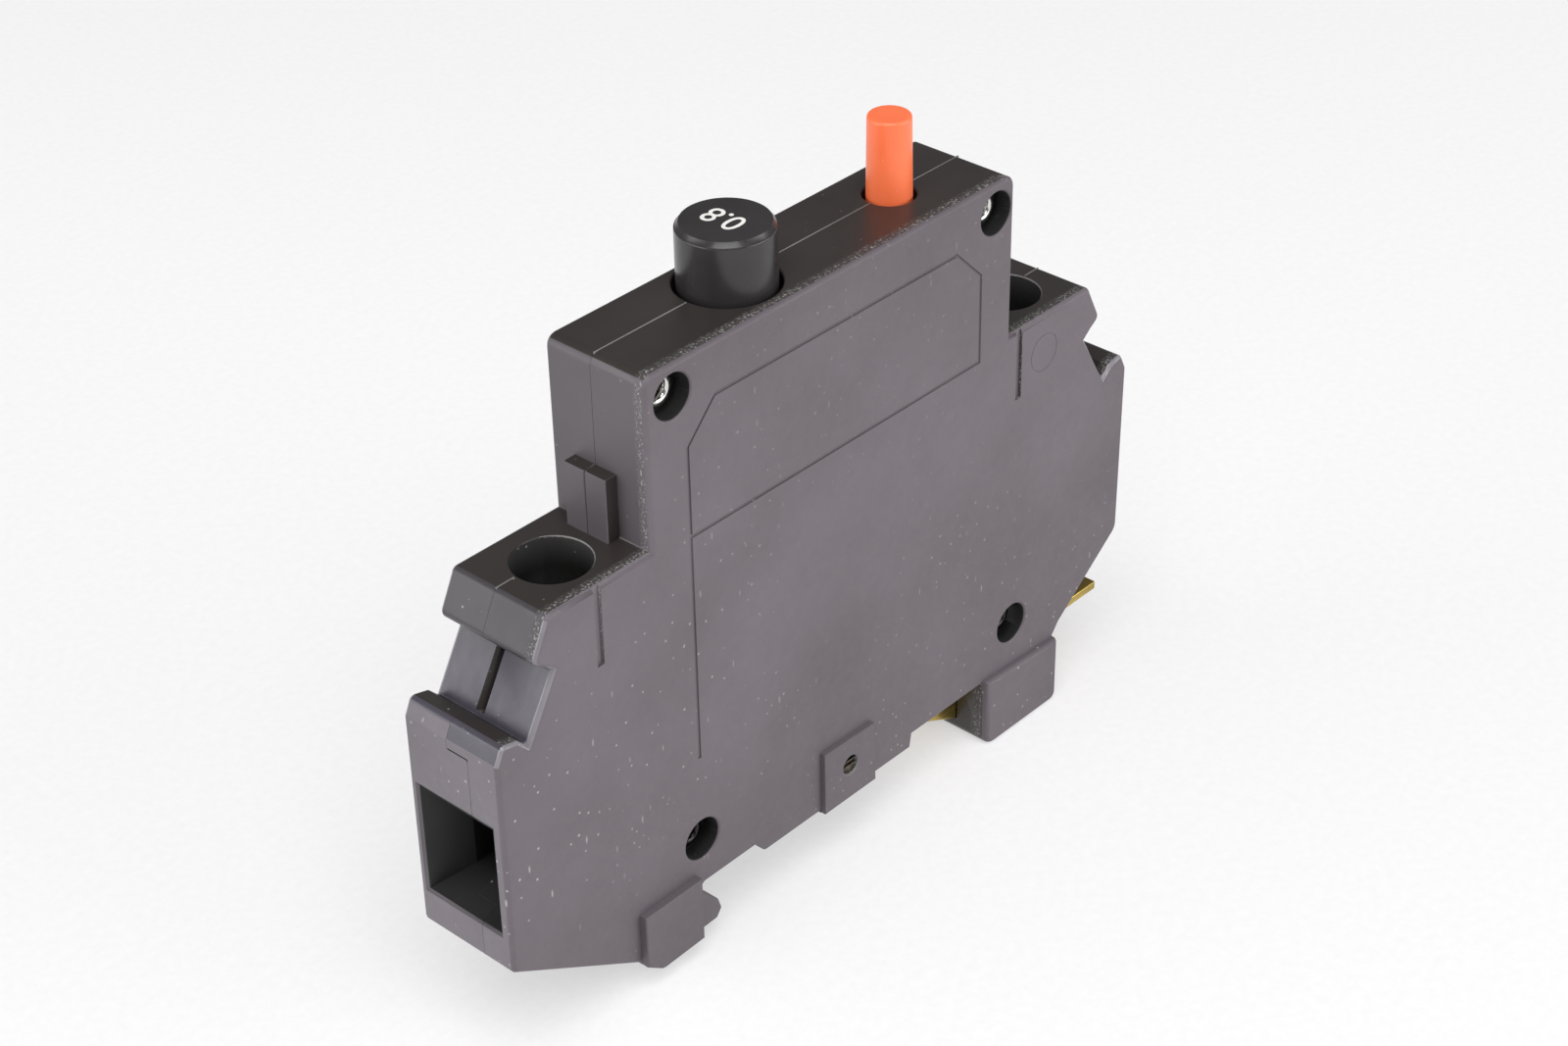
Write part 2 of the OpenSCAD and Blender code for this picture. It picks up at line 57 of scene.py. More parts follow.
MM = 0.001
HALF_W = 6.25
SEAM_Y = 0.5
TOP_Z = 68.0
WING_Z = 49.8
END_X = 46.7
TERMINAL_X = 32.6
DRIVER_R = 3.9
SPARE = 0.05
OVERLAP = 0.02
RIM_ROUND, SEAM_ROUND = 0.75, 0.17
WELD, WELD_RING, WELD_HALF = 0.000002, 0.0000005, 0.000003
RIVETS = [(-22.5, 64.7), (23.2, 64.7), (-20.9, 13.5), (27.5, 13.5)]
RECESS_R = 2.3
RESET_X = -8.06
RESET_TOP = 74.3
RESET_HOLE_R = 5.2
RELEASE_X = 14.898
RELEASE_TOP = 76.4
RELEASE_HOLE_R = 2.7
ADJUSTER = (0.5, 10.4)

# the moulding's outline as X, Z and corner radius, in mm, clockwise from the left end
HALF_END = [
    (46.4, 37.1, 0), (45.5, 39.0, 0.7), (43.5, 38.5, 0), (42.4, 37.4, 0),
    (38.8, 43.7, 0), (39.7, 44.5, 0), (41.2, 45.5, 0.8), (39.1, 49.8, 0.8),
    (26.0, 49.8, 0), (26.0, 68.0, 1.2),
]
LOWER = [
    (-46.4, 13.1, 0.8), (-30.3, 3.6, 1.5), (-27.9, 1.9, 1.0), (-19.1, 2.1, 0),
    (-18.3, 3.2, 0), (-18.7, 4.3, 0), (-21.5, 7.3, 0), (-20.7, 7.85, 0),
    (-13.2, 7.85, 0), (-11.8, 6.3, 0), (10.9, 6.2, 0), (11.2, 7.85, 0),
    (22.6, 7.85, 0), (22.6, 0.0, 1.2), (35.0, 0.0, 1.0), (35.2, 7.75, 0),
    (36.2, 9.05, 0), (46.1, 16.6, 1.5),
]
OUTLINE = LOWER + HALF_END + [(-x, z, r) for x, z, r in reversed(HALF_END)]
LEFT_PAD = [
    (-30.0, 3.39, 0), (-27.9, 1.9, 1.0), (-22.0, 2.03, 0), (-22.0, 9.6, 0), (-30.0, 9.6, 0),
]
RIGHT_PAD = [(22.65, 0.0, 1.2), (34.8, 0.0, 1.0), (34.9, 7.75, 0), (22.65, 8.45, 0)]
ADJUSTER_PAD = [(-3.5, 6.3, 0), (4.4, 6.3, 0), (4.2, 13.7, 0), (-3.5, 13.9, 0)]
# each pad's outline, how far its face stands from the middle, and its rounding
PADS = ((LEFT_PAD, 7.2, 0.35), (RIGHT_PAD, 7.2, 0.7), (ADJUSTER_PAD, 6.9, 0.25))
PAD_ROOT = -3.0


# ---- working at the bench ----

def pick_nothing():
    if bpy.context.object and bpy.context.object.mode != "OBJECT":
        bpy.ops.object.mode_set(mode="OBJECT")
    bpy.ops.object.select_all(action="DESELECT")


def pick(piece):
    pick_nothing()
    piece.select_set(True)
    bpy.context.view_layer.objects.active = piece


def into_mesh(piece, mode):
    pick(piece)
    bpy.ops.object.mode_set(mode="EDIT")
    bpy.ops.mesh.select_mode(type=mode)
    bpy.ops.mesh.select_all(action="DESELECT")


def out_of_mesh():
    bpy.ops.object.mode_set(mode="OBJECT")


def choose(piece, kind, test):
    """Selects the verts, edges or faces whose place passes the test, from edit mode."""
    bpy.ops.object.mode_set(mode="OBJECT")
    mesh = piece.data
    for v in mesh.vertices:
        v.select = False
    for e in mesh.edges:
        e.select = False
    for f in mesh.polygons:
        f.select = False
    if kind == "VERT":
        for v in mesh.vertices:
            v.select = test(v.co / MM)
    if kind == "EDGE":
        for e in mesh.edges:
            a, b = (mesh.vertices[i].co / MM for i in e.vertices)
            e.select = test(a, b)
    if kind == "FACE":
        for f in mesh.polygons:
            f.select = test(f.center / MM, f.normal)
    bpy.ops.object.mode_set(mode="EDIT")


def weld(gap):
    """Merges every vertex closer than the gap, from edit mode."""
    bpy.ops.mesh.select_all(action="SELECT")
    bpy.ops.mesh.remove_doubles(threshold=gap)


def settle(piece):
    """Puts the object at the origin with its place in its mesh."""
    pick(piece)
    bpy.ops.object.transform_apply(location=True, rotation=True, scale=True)


def smooth(piece, angle=32):
    pick(piece)
    bpy.ops.object.shade_smooth_by_angle(angle=math.radians(angle), keep_sharp_edges=False)


def weigh_normals(piece):
    pick(piece)
    m = piece.modifiers.new("even_shading", "WEIGHTED_NORMAL")
    m.keep_sharp = True
    m.weight = 80
    bpy.ops.object.modifier_apply(modifier=m.name)


def carve(piece, tool, operation="DIFFERENCE", keep_tool=False):
    pick(piece)
    m = piece.modifiers.new("carve", "BOOLEAN")
    m.operation = operation
    m.solver = "MANIFOLD"
    m.object = tool
    bpy.ops.object.modifier_apply(modifier=m.name)
    if not keep_tool:
        bpy.data.objects.remove(tool, do_unlink=True)


def copy_of(piece, name):
    twin = piece.copy()
    twin.data = piece.data.copy()
    twin.name = name
    bpy.context.scene.collection.objects.link(twin)
    return twin


def from_node(node, name):
    """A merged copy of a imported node, free to be shaped."""
    source = frame["nodes"][node]
    piece = copy_of(source, name)
    piece.parent = None
    piece.hide_render = False
    piece.hide_viewport = False
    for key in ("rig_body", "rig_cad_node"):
        if key in piece:
            del piece[key]
    piece.data.materials.clear()
    into_mesh(piece, "VERT")
    weld(WELD)
    out_of_mesh()
    return piece


def plate(name, corners, y0, y1):
    """A flat outline walked corner by corner, filled, and pulled out along Y."""
    pick_nothing()
    x, z, _ = corners[0]
    bpy.ops.mesh.primitive_plane_add(size=MM, location=(x * MM, y0 * MM, z * MM))
    piece = bpy.context.object
    piece.name = name
    settle(piece)
    into_mesh(piece, "VERT")
    bpy.ops.mesh.select_all(action="SELECT")
    bpy.ops.mesh.merge(type="CENTER")
    for (ax, az, _), (bx, bz, _) in zip(corners, corners[1:]):
        step = ((bx - ax) * MM, 0, (bz - az) * MM)
        bpy.ops.mesh.extrude_region_move(TRANSFORM_OT_translate={"value": step})
    bpy.ops.mesh.select_all(action="SELECT")
    bpy.ops.mesh.edge_face_add()
    n = len(corners)
    for i, (x, z, r) in enumerate(corners):
        if not r:
            continue
        here = Vector((x, z))
        u = (Vector(corners[i - 1][:2]) - here).normalized()
        v = (Vector(corners[(i + 1) % n][:2]) - here).normalized()
        reach = r / math.tan(u.angle(v) / 2)
        choose(piece, "VERT", lambda p: abs(p.x - x) < 0.001 and abs(p.z - z) < 0.001)
        bpy.ops.mesh.bevel(offset=reach * MM, segments=6, affect="VERTICES",
                           clamp_overlap=False)
    bpy.ops.mesh.select_all(action="SELECT")
    bpy.ops.mesh.extrude_region_move(TRANSFORM_OT_translate={"value": (0, (y1 - y0) * MM, 0)})
    bpy.ops.mesh.select_all(action="SELECT")
    bpy.ops.mesh.normals_make_consistent(inside=False)
    bpy.ops.mesh.select_mode(type="FACE")
    choose(piece, "FACE", lambda c, n: abs(n.y) < 0.5)
    bpy.ops.transform.shrink_fatten(value=SPARE * MM, use_even_offset=True)
    out_of_mesh()
    return piece


def soften_rim(piece, y, width, steps=4):
    """Rounds the edges that lie in one plane across Y."""
    into_mesh(piece, "EDGE")
    choose(piece, "EDGE", lambda a, b: abs(a.y - y) < 0.002 and abs(b.y - y) < 0.002)
    bpy.ops.mesh.bevel(offset=width * MM, segments=steps, profile=0.5, affect="EDGES",
                       clamp_overlap=False)
    out_of_mesh()


def block(name, low, high, bevel=0.0, steps=3):
    """A box between two corners, its edges rounded if a bevel is given."""
    pick_nothing()
    centre = [(a + b) / 2 * MM for a, b in zip(low, high)]
    size = [(b - a) * MM for a, b in zip(low, high)]
    bpy.ops.mesh.primitive_cube_add(size=1, location=centre, scale=size)
    piece = bpy.context.object
    piece.name = name
    settle(piece)
    if bevel:
        into_mesh(piece, "EDGE")
        bpy.ops.mesh.select_all(action="SELECT")
        bpy.ops.mesh.bevel(offset=bevel * MM, segments=steps, affect="EDGES")
        out_of_mesh()
    return piece


def turned(name, profile, place, axis="Z", sides=96, closed=False):
    """A round piece drawn up from one ring: each step extrudes, lifts and scales the ring."""
    pick_nothing()
    r0, h0 = profile[0]
    fill = "NOTHING" if closed else "NGON"
    bpy.ops.mesh.primitive_circle_add(vertices=sides, radius=r0 * MM, fill_type=fill,
                                      location=(0, 0, h0 * MM))
    piece = bpy.context.object
    piece.name = name
    settle(piece)
    into_mesh(piece, "VERT")
    bpy.ops.mesh.select_all(action="SELECT")
    r, h = r0, h0
    for r1, h1 in profile[1:]:
        bpy.ops.mesh.extrude_region_move(TRANSFORM_OT_translate={"value": (0, 0, (h1 - h) * MM)})
        bpy.ops.transform.resize(value=(r1 / r, r1 / r, 1), center_override=(0, 0, h1 * MM))
        r, h = r1, h1
    if closed:
        weld(WELD_RING)
    bpy.ops.mesh.select_all(action="SELECT")
    bpy.ops.mesh.normals_make_consistent(inside=False)
    out_of_mesh()
    if axis == "Y":
        piece.rotation_euler = (math.radians(90), 0, 0)
    if axis == "-Y":
        piece.rotation_euler = (math.radians(-90), 0, 0)
    piece.location = [v * MM for v in place]
    settle(piece)
    return piece


def round_over(radius, height, fillet, steps=5):
    """Profile steps of a rounded upper edge that ends at the given radius and height."""
    out = []
    for i in range(steps + 1):
        a = math.pi / 2 * i / steps
        out.append((radius - fillet + fillet * math.cos(a),
                    height - fillet + fillet * math.sin(a)))
    return out


def ease_mouth(pieces, place, axis, radius, lip):
    """Rounds the mouth of a round hole with a flared tool."""
    steps = 4
    profile = []
    for i in range(steps + 1):
        a = math.pi / 2 * i / steps
        profile.append((radius + lip - lip * math.cos(a) + 0.002, -lip + lip * math.sin(a)))
    profile = [(radius * 0.6, -lip)] + profile + [(radius + lip + 0.05, 0.6)]
    for piece in pieces:
        tool = turned("lip_tool", profile, place, axis, sides=64)
        carve(piece, tool)


# ---- finishes ----

def blank(name):
    finish = bpy.data.materials.new(name)
    finish.use_nodes = True
    tree = finish.node_tree
    shader = tree.nodes["Principled BSDF"]
    where = tree.nodes.new("ShaderNodeTexCoord").outputs["Object"]
    return finish, tree, shader, where


def stretched(tree, where, scale):
    node = tree.nodes.new("ShaderNodeMapping")
    node.inputs["Scale"].default_value = scale
    tree.links.new(where, node.inputs["Vector"])
    return node.outputs["Vector"]


def grain(tree, where, scale, detail=3.0, rough=0.55):
    node = tree.nodes.new("ShaderNodeTexNoise")
    node.inputs["Scale"].default_value = scale
    node.inputs["Detail"].default_value = detail
    node.inputs["Roughness"].default_value = rough
    tree.links.new(where, node.inputs["Vector"])
    return node.outputs["Fac"]


def specks(tree, where, scale, spread=1.0):
    node = tree.nodes.new("ShaderNodeTexVoronoi")
    node.inputs["Scale"].default_value = scale
    node.inputs["Randomness"].default_value = spread
    tree.links.new(where, node.inputs["Vector"])
    return node.outputs["Distance"]


def ranged(tree, value, a, b, c, d):
    node = tree.nodes.new("ShaderNodeMapRange")
    for i, v in enumerate((a, b, c, d), 1):
        node.inputs[i].default_value = v
    tree.links.new(value, node.inputs["Value"])
    return node.outputs["Result"]


def banded(tree, value, stops):
    node = tree.nodes.new("ShaderNodeValToRGB")
    ramp = node.color_ramp
    while len(ramp.elements) < len(stops):
        ramp.elements.new(0.5)
    for element, (at, colour) in zip(ramp.elements, stops):
        element.position = at
        element.color = (*colour, 1)
    tree.links.new(value, node.inputs["Fac"])
    return node.outputs["Color"]


def joined(tree, a, b, operation="MULTIPLY"):
    """Two values multiplied, or put together by the operation named, held in 0 to 1."""
    node = tree.nodes.new("ShaderNodeMath")
    node.operation = operation
    node.use_clamp = True
    for socket, value in zip(node.inputs, (a, b)):
        if isinstance(value, (int, float)):
            socket.default_value = value
        else:
            tree.links.new(value, socket)
    return node.outputs["Value"]


def over(tree, amount, below, above):
    """Lays one colour over another where amount is 1."""
    node = tree.nodes.new("ShaderNodeMix")
    node.data_type = "RGBA"
    tree.links.new(amount, node.inputs["Factor"])
    for socket, value in zip((node.inputs[6], node.inputs[7]), (below, above)):
        if isinstance(value, tuple):
            socket.default_value = (*value, 1)
        else:
            tree.links.new(value, socket)
    return node.outputs[2]


def pressed(tree, height, strength, depth, before=None):
    node = tree.nodes.new("ShaderNodeBump")
    node.inputs["Strength"].default_value = strength
    node.inputs["Distance"].default_value = depth
    tree.links.new(height, node.inputs["Height"])
    if before is not None:
        tree.links.new(before, node.inputs["Normal"])
    return node.outputs["Normal"]


def axis_of(tree, where, axis):
    node = tree.nodes.new("ShaderNodeSeparateXYZ")
    tree.links.new(where, node.inputs["Vector"])
    return node.outputs[axis]


def dust_on(tree, where, low=0.0, high=0.05, size=760, share=0.13):
    """Sparse pale specks, more of them low down."""
    spots = ranged(tree, specks(tree, where, size), share, share * 0.55, 0, 1)
    flakes = specks(tree, stretched(tree, where, (1, 1, 0.28)), size * 0.8)
    spots = joined(tree, spots, ranged(tree, flakes, share * 0.7, share * 0.4, 0, 0.7), "ADD")
    patches = ranged(tree, grain(tree, where, 38, 2), 0.41, 0.58, 0, 1)
    lower = ranged(tree, axis_of(tree, where, "Z"), low, high, 1, 0.3)
    leftward = ranged(tree, axis_of(tree, where, "X"), -0.046, 0.02, 1, 0.45)
    return joined(tree, joined(tree, joined(tree, spots, patches), lower), leftward)


def spark_moulding(name, dark, light, rough_low, rough_high, press=0.5):
    """Black thermoplastic from a spark-eroded mould: matt, finely pitted, a little dusty."""
    finish, tree, shader, where = blank(name)
    tone = ranged(tree, grain(tree, where, 55, 3), 0.3, 0.7, 0, 1)
    colour = banded(tree, tone, [(0.0, dark), (1.0, light)])
    height = axis_of(tree, where, "Z")
    # the colour darkens towards the bottom and towards the top of the part
    darker_low_and_high = joined(tree, ranged(tree, height, 0.004, 0.03, 1, 0),
                     ranged(tree, height, 0.045, 0.066, 0, 0.8), "ADD")
    colour = over(tree, joined(tree, darker_low_and_high, 0.32), colour, tuple(v * 0.55 for v in dark))
    pits = grain(tree, where, 5200, 2)
    colour = over(tree, ranged(tree, pits, 0.62, 0.78, 0, 0.35), colour, (0.16, 0.15, 0.16))
    colour = over(tree, dust_on(tree, where), colour, (0.55, 0.53, 0.52))
    tree.links.new(colour, shader.inputs["Base Color"])
    rough = ranged(tree, grain(tree, where, 900, 3), 0.3, 0.7, rough_low, rough_high)
    tree.links.new(rough, shader.inputs["Roughness"])
    first = pressed(tree, pits, press, 0.00003)
    second = pressed(tree, grain(tree, where, 260, 2), 0.12, 0.0001, first)
    tree.links.new(second, shader.inputs["Normal"])
    return finish


def ledge_moulding(name, dark, light, rough_low, rough_high, spark=0.75, painted_light_top=None):
    """The same plastic off a smoother mould: satin, rough only by the spark-eroded edge, where
    pale painted glints lie; given a top height and a colour, it is painted lighter towards that
    height.
    """
    finish, tree, shader, where = blank(name)
    tone = ranged(tree, grain(tree, where, 70, 3), 0.3, 0.7, 0, 1)
    colour = banded(tree, tone, [(0.0, dark), (1.0, light)])
    edge = ranged(tree, axis_of(tree, where, "Y"), -0.0047, -0.0054, 0, 1)
    pits = grain(tree, where, 4200, 2)
    # painted light: the colour turns to the given lighter one towards the top height, for light
    # reaching into the mouth of a bore
    if painted_light_top:
        top, above = painted_light_top
        painted_light_band = ranged(tree, axis_of(tree, where, "Z"), top - 0.003, top, 0, 1)
        colour = over(tree, painted_light_band, colour, above)
    # painted glints: pale specks along the spark-eroded near edge stand for light glittering on
    # its texture; spark sets their strength and the pitting's
    if spark:
        painted_glints = joined(tree, ranged(tree, pits, 0.52, 0.70, 0.05, spark), edge)
        colour = over(tree, painted_glints, colour, (0.40, 0.385, 0.39))
    colour = over(tree, dust_on(tree, where, 0.0, 0.08, 520, 0.075), colour, (0.5, 0.48, 0.47))
    tree.links.new(colour, shader.inputs["Base Color"])
    sheen = ranged(tree, grain(tree, where, 180, 4), 0.3, 0.7, rough_low, rough_high)
    rough = joined(tree, sheen, joined(tree, edge, 0.22), "ADD")
    tree.links.new(rough, shader.inputs["Roughness"])
    pitting = joined(tree, pits, joined(tree, edge, 0.12, "ADD"))
    fine = pressed(tree, pitting, 0.8 if spark else 0.1, 0.00004)
    broad = pressed(tree, grain(tree, where, 600, 3), 0.06, 0.00005, fine)
    tree.links.new(broad, shader.inputs["Normal"])
    return finish


def glossy_plastic(name, dark, light, rough_low, rough_high, soft=0.0):
    """Polished plastic with faint upright wear lines; soft lets some light into it."""
    finish, tree, shader, where = blank(name)
    tone = ranged(tree, grain(tree, where, 120, 3), 0.3, 0.7, 0, 1)
    colour = banded(tree, tone, [(0.0, dark), (1.0, light)])
    colour = over(tree, dust_on(tree, where, 0.07, 0.08, 900, 0.06), colour, (0.6, 0.58, 0.56))
    tree.links.new(colour, shader.inputs["Base Color"])
    lines = grain(tree, stretched(tree, where, (900, 900, 60)), 1.0, 4)
    rough = ranged(tree, lines, 0.3, 0.7, rough_low, rough_high)
    tree.links.new(rough, shader.inputs["Roughness"])
    shader.inputs["Subsurface Weight"].default_value = soft
    shader.inputs["Subsurface Radius"].default_value = (0.0012, 0.0005, 0.0002)
    tree.links.new(pressed(tree, lines, 0.2, 0.00001), shader.inputs["Normal"])
    return finish


def worked_metal(name, dark, light, rough_low, rough_high, lay=(1, 1, 1), pitch=700,
                 tarnish=(0.2, 0.16, 0.12), stain=0.5, painted_shade_below=None):
    """Plated or drawn metal with a lay of fine lines and some dull stain; given a height, it is
    painted near black below it as shade.
    """
    finish, tree, shader, where = blank(name)
    lines = grain(tree, stretched(tree, where, lay), pitch, 4)
    tone = ranged(tree, lines, 0.3, 0.7, 0, 1)
    colour = banded(tree, tone, [(0.0, dark), (1.0, light)])
    cloud = ranged(tree, grain(tree, where, 190, 4), 0.52, 0.75, 0, stain)
    colour = over(tree, cloud, colour, tarnish)
    # painted shade: near black below the given height
    if painted_shade_below:
        shaded = ranged(tree, axis_of(tree, where, "Z"), painted_shade_below - 0.01, painted_shade_below, 1, 0)
        colour = over(tree, shaded, colour, (0.035, 0.03, 0.03))
    tree.links.new(colour, shader.inputs["Base Color"])
    shader.inputs["Metallic"].default_value = 1.0
    rough = joined(tree, ranged(tree, lines, 0.3, 0.7, rough_low, rough_high),
                   joined(tree, cloud, 0.3), "ADD")
    tree.links.new(rough, shader.inputs["Roughness"])
    tree.links.new(pressed(tree, lines, 0.15, 0.00002), shader.inputs["Normal"])
    return finish


def fibre_board(name, dark, light):
    """Pressed board with threads along Y."""
    finish, tree, shader, where = blank(name)
    threads = grain(tree, stretched(tree, where, (1, 0.15, 1)), 900, 5)
    tree.links.new(banded(tree, threads, [(0.3, dark), (0.7, light)]), shader.inputs["Base Color"])
    tree.links.new(ranged(tree, threads, 0.3, 0.7, 0.6, 0.8), shader.inputs["Roughness"])
    tree.links.new(pressed(tree, threads, 0.3, 0.00004), shader.inputs["Normal"])
    return finish


def pale_paper(name):
    """Backlit matt paper, so that shadows on it stay light."""
    finish, tree, shader, where = blank(name)
    pulp = grain(tree, where, 900, 5, 0.6)
    colour = banded(tree, pulp, [(0.2, (0.40, 0.398, 0.40)), (0.8, (0.45, 0.447, 0.45))])
    tree.links.new(colour, shader.inputs["Base Color"])
    shader.inputs["Roughness"].default_value = 0.8
    shader.inputs["Specular IOR Level"].default_value = 0.2
    shader.inputs["Emission Color"].default_value = (1.0, 0.99, 1.0, 1)
    shader.inputs["Emission Strength"].default_value = 0.50
    waves = pressed(tree, grain(tree, where, 420, 3), 0.18, 0.0002)
    tree.links.new(waves, shader.inputs["Normal"])
    return finish


FINISHES = {
    "near_side": spark_moulding(
        "black moulding, spark finish", (0.103, 0.088, 0.101), (0.136, 0.116, 0.133), 0.5, 0.62),
    "far_side": spark_moulding(
        "black moulding, spark finish, far half", (0.104, 0.093, 0.103), (0.126, 0.113, 0.125),
        0.5, 0.62),
    # upright walls: the ledge black painted lighter for the light these walls catch
    "walls": ledge_moulding(
        "black moulding, walls painted lighter", (0.075, 0.066, 0.073), (0.094, 0.083, 0.092), 0.4, 0.52),
    "ledges": ledge_moulding(
        "black moulding, smooth ledges", (0.022, 0.018, 0.0165), (0.032, 0.027, 0.025),
        0.3, 0.42),
    # bores: painted shade, near black, in the rivet recesses, wire funnels and end slits
    "bores": ledge_moulding(
        "black moulding, bores in painted shade", (0.003, 0.0028, 0.0028), (0.007, 0.0065, 0.0065),
        0.5, 0.62, 0),
    # driver holes: painted shade, near black, and painted lighter near their top at 49.5 mm
    "driver_holes_shaded": ledge_moulding(
        "black moulding, painted shade in driver holes", (0.0015, 0.0015, 0.0015), (0.003, 0.003, 0.003),
        0.55, 0.7, 0, (0.0495, (0.035, 0.033, 0.033))),
    # end face: the side finish painted lighter for the light the end catches
    "end_face_lit": spark_moulding(
        "black moulding, painted-lighter end face", (0.132, 0.118, 0.132), (0.170, 0.152, 0.170), 0.5, 0.62),
    # wing fronts: the ledge black painted lighter for the light they catch
    "wing_face_lit": ledge_moulding(
        "black moulding, painted-lighter wing front", (0.040, 0.036, 0.041), (0.052, 0.047, 0.053), 0.36, 0.48),
    # seam flash: painted highlight, a pale copy of the black plastic for the lit seam line and the
    # lit lips of the driver holes, also laid on the pale ring round the adjuster
    "seam_highlight": ledge_moulding(
        "black moulding, seam painted highlight", (0.10, 0.095, 0.095), (0.26, 0.25, 0.25), 0.35, 0.5, 0),
    # rim: glossy, and painted pale as a highlight along the rounded rim of the end notches
    "glossy_rim_highlight": glossy_plastic(
        "black moulding, glossy rim painted highlight", (0.17, 0.16, 0.18), (0.24, 0.23, 0.25), 0.14, 0.24),
    # end notch: glossy, with a bluish painted reflection
    "notch_reflection": glossy_plastic(
        "black moulding, painted reflection in end notch", (0.050, 0.046, 0.062), (0.066, 0.060, 0.078), 0.26, 0.38),
    "reset_plastic": glossy_plastic(
        "black button plastic", (0.020, 0.018, 0.019), (0.030, 0.027, 0.029), 0.2, 0.32),
    "release_plastic": glossy_plastic(
        "orange button plastic", (0.92, 0.17, 0.06), (0.97, 0.21, 0.08), 0.3, 0.42, soft=0.12),
    "digit_ink": glossy_plastic(
        "white printing ink", (0.78, 0.77, 0.74), (0.88, 0.87, 0.84), 0.4, 0.5),
    # tube rivets: painted shade makes the two low ones near black, below 40 mm
    "rivet_metal": worked_metal(
        "tube rivet, painted shade low down", (0.66, 0.65, 0.63), (0.84, 0.83, 0.80), 0.12, 0.24, (1, 0.2, 1),
        900, (0.12, 0.1, 0.09), 0.8, 0.04),
    "spring_steel": worked_metal(
        "drawn spring wire", (0.5, 0.5, 0.5), (0.66, 0.66, 0.66), 0.2, 0.35),
    "copper_alloy": worked_metal(
        "stamped copper alloy", (0.62, 0.33, 0.18), (0.75, 0.44, 0.26), 0.25, 0.4, (0.15, 1, 1)),
    "silver_contact": worked_metal(
        "silver contact", (0.74, 0.73, 0.70), (0.86, 0.85, 0.82), 0.22, 0.38, (1, 1, 1),
        900, (0.3, 0.27, 0.22), 0.6),
    "pin_steel": worked_metal(
        "ground pin steel", (0.55, 0.55, 0.55), (0.7, 0.7, 0.7), 0.12, 0.22, (1, 0.2, 1)),
    "trip_plastic": glossy_plastic(
        "ivory lever plastic", (0.66, 0.61, 0.48), (0.74, 0.69, 0.55), 0.4, 0.55),
    "bimetal_strip": worked_metal(
        "rolled two-metal strip", (0.48, 0.43, 0.36), (0.62, 0.57, 0.49),
        0.25, 0.4, (1, 1, 0.15)),
    "heater_wire": worked_metal(
        "oxidised heater ribbon", (0.34, 0.28, 0.2), (0.52, 0.45, 0.35), 0.35, 0.5),
    "carrier_steel": worked_metal(
        "plated carrier steel", (0.55, 0.53, 0.47), (0.68, 0.66, 0.6), 0.25, 0.4),
    "calibration_metal": worked_metal(
        "sealed adjuster brass", (0.05, 0.045, 0.04), (0.2, 0.17, 0.12), 0.3, 0.5, (1, 1, 1),
        1500, (0.02, 0.018, 0.016), 0.9),
    "braid_copper": worked_metal(
        "tinned braid", (0.55, 0.32, 0.2), (0.75, 0.5, 0.34), 0.3, 0.45, (1, 1, 1), 2500),
    "bar_metal": worked_metal(
        "brass terminal bar", (0.66, 0.5, 0.26), (0.8, 0.63, 0.36), 0.22, 0.38, (0.15, 1, 1)),
    "cage_steel": worked_metal(
        "zinc plated clamp", (0.56, 0.56, 0.5), (0.72, 0.71, 0.64), 0.25, 0.4, (1, 1, 0.2)),
    "screw_steel": worked_metal(
        "zinc plated screw", (0.42, 0.42, 0.40), (0.60, 0.60, 0.57), 0.22, 0.36),
    "latch_brass": worked_metal(
        "rolled latch brass", (0.40, 0.29, 0.065), (0.55, 0.41, 0.115), 0.2, 0.34, (0.12, 1, 1),
        900, (0.2, 0.13, 0.04), 0.75),
    "liner_fibre": fibre_board("pressed fibre liner", (0.36, 0.25, 0.15), (0.55, 0.4, 0.26)),
}

for part in frame["record"]["subparts"]:
    node = frame["nodes"][part["node"]]
    node.data.materials.clear()
    node.data.materials.append(FINISHES.get(part["material_slot"], FINISHES["ledges"]))


# ---- the two halves of the moulded housing ----

def rib(name, side, y0, y1):
    """One half of the upright rib beside a driver hole."""
    x0, x1 = sorted((side * 25.0, side * 27.55))
    return block(name, (x0, y0, 48.0), (x1, y1, 56.65), bevel=0.3)


def envelope(name, y0, y1, rim_y, seam_y=None):
    """A rounded block a packed half is cut down to: its rim always, its seam edge if asked."""
    hull = plate(name, OUTLINE, y0, y1)
    soften_rim(hull, rim_y, RIM_ROUND, 5)
    if seam_y is not None:
        soften_rim(hull, seam_y, SEAM_ROUND, 2)
    return hull


near_face, far_face = -HALF_W - SPARE, HALF_W + SPARE
near_hull = envelope("near_hull", near_face, SEAM_Y + OVERLAP, near_face, SEAM_Y + OVERLAP)
for outline, depth, width in PADS:
    pad = plate("pad_hull", outline, -depth, PAD_ROOT)
    soften_rim(pad, -depth, width, 5)
    carve(near_hull, pad, "UNION")
far_hull = envelope("far_hull", -2.3, far_face, far_face)
for side in (-1, 1):
    carve(near_hull, rib("near_rib", side, SEAM_Y - 2.75, SEAM_Y + OVERLAP), "UNION")
    carve(far_hull, rib("far_rib", side, SEAM_Y - OVERLAP, SEAM_Y + 2.75), "UNION")

near_half = from_node("near_shell", "housing_near_half")
far_half = from_node("far_shell", "housing_far_half")
carve(near_half, near_hull, "INTERSECT")
carve(far_half, far_hull, "INTERSECT")

